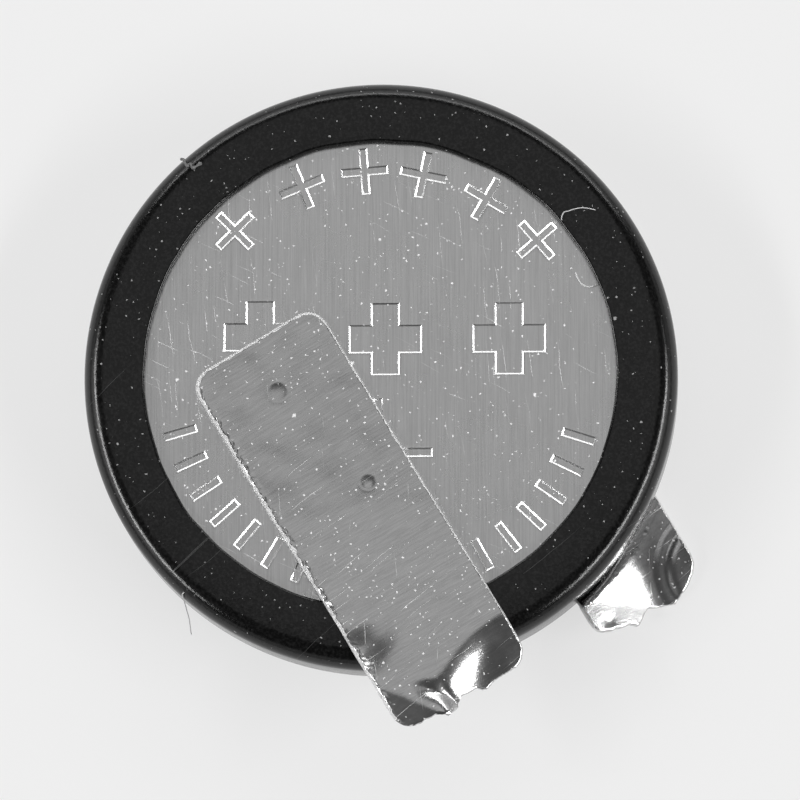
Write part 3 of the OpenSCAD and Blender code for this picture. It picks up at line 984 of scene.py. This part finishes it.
def strip_plan(reach, torn, far_r, near_r, inset, uneven):
    """Places along and across for every grid point, inset from the outline."""
    share = -np.cos(np.pi * np.arange(ACROSS_STEPS + 1) / ACROSS_STEPS)
    share = 0.35 * share + 0.65 * np.linspace(-1, 1, ACROSS_STEPS + 1)
    y_full = STRIP_W / 2 * share
    start = -STRIP_BACK + corner_cut(np.abs(y_full), STRIP_CORNER)
    start += uneven * (0.6 + noise_along(y_full, 8, 8.8, reach))
    end = torn_end(y_full, reach, torn, far_r, near_r)
    end -= 0.05 * np.abs(noise_along(y_full, 9, 2.7, reach))
    along = np.linspace(0, 1, ALONG_STEPS + 1)
    x = (start + inset)[:, None] * (1 - along) + (end - inset)[:, None] * along
    ragged, fine = noise_along(x[0], 7, 5.5, reach), noise_along(x[0], 16, 1.5, reach)
    far = -STRIP_W / 2 + inset + uneven * np.clip(0.7 + ragged + 0.6 * fine, 0, None)
    near = STRIP_W / 2 - inset - uneven * np.clip(0.15 + 0.5 * fine, 0, None)
    part = (share[:, None] + 1) / 2
    return x, far * (1 - part) + near * part


def sheet(middle, x, y, offset):
    """Points of the middle surface moved along its normal by an offset."""
    step = 1e-3
    du = middle(x + step, y) - middle(x - step, y)
    dv = middle(x, y + step) - middle(x, y - step)
    normal = np.cross(du, dv)
    normal /= np.linalg.norm(normal, axis=-1, keepdims=True)
    return middle(x, y) + normal * np.asarray(offset)[..., None]


# %% [markdown]
# Spot welding left round dents with a low rim, and the shear left a ragged burr along one long
# edge of the upper strip. Both only change the sheet's outer face, away from the cell.

# %% Weld dents and burr
def weld_dent(x, y, spots):
    """Depth of the dents, each given as (along, across, radius, depth)."""
    depth = np.zeros_like(x)
    for sx, sy, r, deep in spots:
        d = np.hypot(x - sx, y - sy) / r
        depth += deep * np.where(d < 1, 1 - d * d, 0) - deep * 0.25 * swell((d - 1.12) / 0.12)
    return depth


def shear_burr(x, y):
    """Ragged ridge that the shear left along one long edge."""
    places = zip(x.ravel(), y.ravel())
    ragged = np.array([smooth_noise(Vector((u * 7, v * 9, 4.1))) for u, v in places])
    return 0.05 * np.abs(ragged).reshape(x.shape) * swell((y + STRIP_W / 2 - 0.06) / 0.07)


# %% [markdown]
# Upper face, lower face and a bevelled rim make the closed sheet. The sheared rim is rough and
# catches the light, so it gets a finish of its own, but not along the torn end, where the metal
# is stretched thin and bright. The points are held inside the box of the strip's own solid.

# %% Strips
def make_strip(name, node, middle, reach, torn, far_r, near_r, faces_up, uneven, spots):
    half = STRIP_T / 2
    x, y = strip_plan(reach, torn, far_r, near_r, EDGE_BEVEL, uneven)
    xo, yo = strip_plan(reach, torn, far_r, near_r, 0.0, 0.0)
    dent = weld_dent(x, y, spots)
    up, down = np.full_like(x, half), np.full_like(x, -half)
    if faces_up:
        up -= dent - shear_burr(x, y)
    else:
        down += dent
    rows, columns = x.shape
    count = rows * columns
    rim = list(range(columns)) + [j * columns + columns - 1 for j in range(1, rows)]
    rim += [(rows - 1) * columns + i for i in range(columns - 2, -1, -1)]
    rim += [j * columns for j in range(rows - 2, 0, -1)]
    xr, yr = xo.ravel()[rim], yo.ravel()[rim]
    points = np.concatenate([
        sheet(middle, x, y, up).reshape(-1, 3), sheet(middle, x, y, down).reshape(-1, 3),
        sheet(middle, xr, yr, np.full(len(rim), half - EDGE_BEVEL)),
        sheet(middle, xr, yr, np.full(len(rim), -half + EDGE_BEVEL))])
    points = np.clip(points, *box_mm(node))
    faces = []
    for j in range(rows - 1):
        for i in range(columns - 1):
            a = j * columns + i
            b, c, d = a + 1, a + columns + 1, a + columns
            faces.append((a, b, c, d))
            faces.append((count + d, count + c, count + b, count + a))
    n = len(rim)
    for k in range(n):
        m = (k + 1) % n
        high, low = 2 * count, 2 * count + n
        faces.append((rim[m], rim[k], high + k, high + m))
        faces.append((high + m, high + k, low + k, low + m))
        faces.append((low + m, low + k, count + rim[k], count + rim[m]))
    strip = mesh_object(name, points, faces)
    torn_rim = sorted(i for i in range(n) if rim[i] % columns == columns - 1)
    plain_rim = set(torn_rim[1:-1])
    finish_piece(strip, node, STRIP_METAL, sharp=60)
    strip.data.materials.append(SHEARED_EDGE)
    first = 2 * (rows - 1) * (columns - 1)
    for face in strip.data.polygons[first:]:
        face.material_index = 0 if (face.index - first) // 3 in plain_rim else 1
    return strip


make_strip("upper_strip", "positive_tab", top_middle, TOP_REACH, TOP_TORN, 0.5, 0.45,
           True, 0.045, [(-0.8, -0.07, 0.2, 0.016), (1.9, 0.58, 0.16, 0.02)])
make_strip("lower_strip", "negative_tab", under_middle, UNDER_REACH, UNDER_TORN, 0.45, 0.55,
           False, 0.02, [(-0.8, 0, 0.22, 0.04), (1.85, -0.6, 0.22, 0.04)])

# %% [markdown]
# Lint clings to a cell like this. Each thread is a thin tube swept along a smooth line through a
# few points, which looks more natural than straight pieces and needs few numbers.

# %% Threads
THREAD_STEPS, THREAD_SIDES = 12, 6


def smooth_line(knots):
    """Catmull-Rom line through the knots."""
    knots = np.array([knots[0]] + list(knots) + [knots[-1]], dtype=float)
    out = []
    for a, b, c, d in zip(knots, knots[1:], knots[2:], knots[3:]):
        for t in np.arange(THREAD_STEPS) / THREAD_STEPS:
            out.append(((2 * b) + (c - a) * t + (2 * a - 5 * b + 4 * c - d) * t * t
                        + (3 * b - a - 3 * c + d) * t ** 3) / 2)
    out.append(knots[-1])
    return np.array(out)


def lay_thread(name, knots, radius, material, squash=1.0, ragged=0.0):
    line = smooth_line(knots)
    x, y = from_picture(line[:, 0], line[:, 1])
    place = np.stack([AXIS_X + x, y, line[:, 2]], axis=1)
    along = np.gradient(place, axis=0)
    along /= np.linalg.norm(along, axis=1, keepdims=True)
    side = np.cross(along, (0, 0, 1))
    side /= np.linalg.norm(side, axis=1, keepdims=True)
    up = np.cross(side, along)
    count = len(place)
    points, faces = [], []
    for i in range(count):
        taper = radius * min(1, 0.3 + 0.25 * min(i, count - 1 - i))
        taper *= 1 + ragged * smooth_noise(Vector(place[i]) * 17)
        for k in range(THREAD_SIDES):
            a = 2 * math.pi * k / THREAD_SIDES
            out = side[i] * math.cos(a) + squash * up[i] * math.sin(a)
            points.append(place[i] + taper * out)
    for i in range(count - 1):
        for k in range(THREAD_SIDES):
            a, b = i * THREAD_SIDES + k, i * THREAD_SIDES + (k + 1) % THREAD_SIDES
            faces.append((a, b, b + THREAD_SIDES, a + THREAD_SIDES))
    faces.append(tuple(range(THREAD_SIDES))[::-1])
    faces.append(tuple((count - 1) * THREAD_SIDES + k for k in range(THREAD_SIDES)))
    return finish_piece(mesh_object(name, points, faces), None, material, sharp=80)


# %% [markdown]
# Two pale hairs lie on the film and the face, one hangs over the edge, and a dark tuft is caught
# at the far edge. Points are picture-right and picture-up of the axis and a height. The fold that
# the film got as it shrank is laid on in the same way, nearly flush.

# %% Lint and a fold in the film
FILM_Z = TOP_Z + FILM_T
lay_thread("lint_on_film", [
    (3.93, 3.325, FILM_Z), (3.944, 3.425, FILM_Z + 0.02), (3.99, 3.5, FILM_Z + 0.02),
    (4.086, 3.53, FILM_Z + 0.01), (4.207, 3.573, FILM_Z), (4.369, 3.595, FILM_Z + 0.02),
    (4.53, 3.578, FILM_Z + 0.03), (4.679, 3.545, FILM_Z)], 0.011, PALE_LINT)
lay_thread("lint_on_face", [
    (4.229, 2.205, TOP_Z + 0.01), (4.272, 2.086, TOP_Z + 0.03), (4.343, 1.978, TOP_Z + 0.02),
    (4.436, 1.914, TOP_Z + 0.01), (4.553, 1.894, TOP_Z + 0.02), (4.661, 1.922, TOP_Z + 0.02),
    (4.747, 1.957, TOP_Z + 0.01)], 0.014, PALE_LINT)
lay_thread("lint_over_edge", [
    (-4.22, -4.717, 2.17), (-4.27, -4.775, 2.13), (-4.24, -4.885, 1.9), (-4.21, -5.03, 1.6),
    (-4.18, -5.19, 1.2), (-4.18, -5.36, 0.8), (-4.17, -5.45, 0.6)], 0.011, PALE_LINT)
lay_thread("tuft_at_edge", [
    (-4.36, 4.8, 2.0), (-4.27, 4.76, 2.12), (-4.25, 4.68, 2.22), (-4.18, 4.6, 2.27),
    (-4.12, 4.65, 2.3), (-4.08, 4.55, 2.32), (-4.0, 4.57, 2.34), (-3.87, 4.66, 2.34)],
    0.032, DARK_LINT, ragged=0.8)
lay_thread("film_fold", [
    (-3.675, -3.539, FILM_Z), (-4.03, -3.88, FILM_Z), (-4.316, -4.158, FILM_Z),
    (-4.46, -4.29, FILM_Z - 0.055), (-4.576, -4.401, FILM_Z - 0.187)],
    0.021, FILM_FOLD, squash=0.25)

# %% [markdown]
# The inner pieces keep the exact solids of the frame: nobody sees them in a closed cell, and
# their shapes are plain discs and a grid. They only get their finishes.

# %% Carried-over solids
INNER = {"lithium_disc": LITHIUM_METAL, "separator": FELT, "cathode_pellet": PELLET,
         "collector_grid": GRID_METAL}
for node, material in INNER.items():
    solid = bpy.data.objects.get(node)
    if solid:
        solid.data.materials.clear()
        solid.data.materials.append(material)
        print(f"{node}: {material.name}")
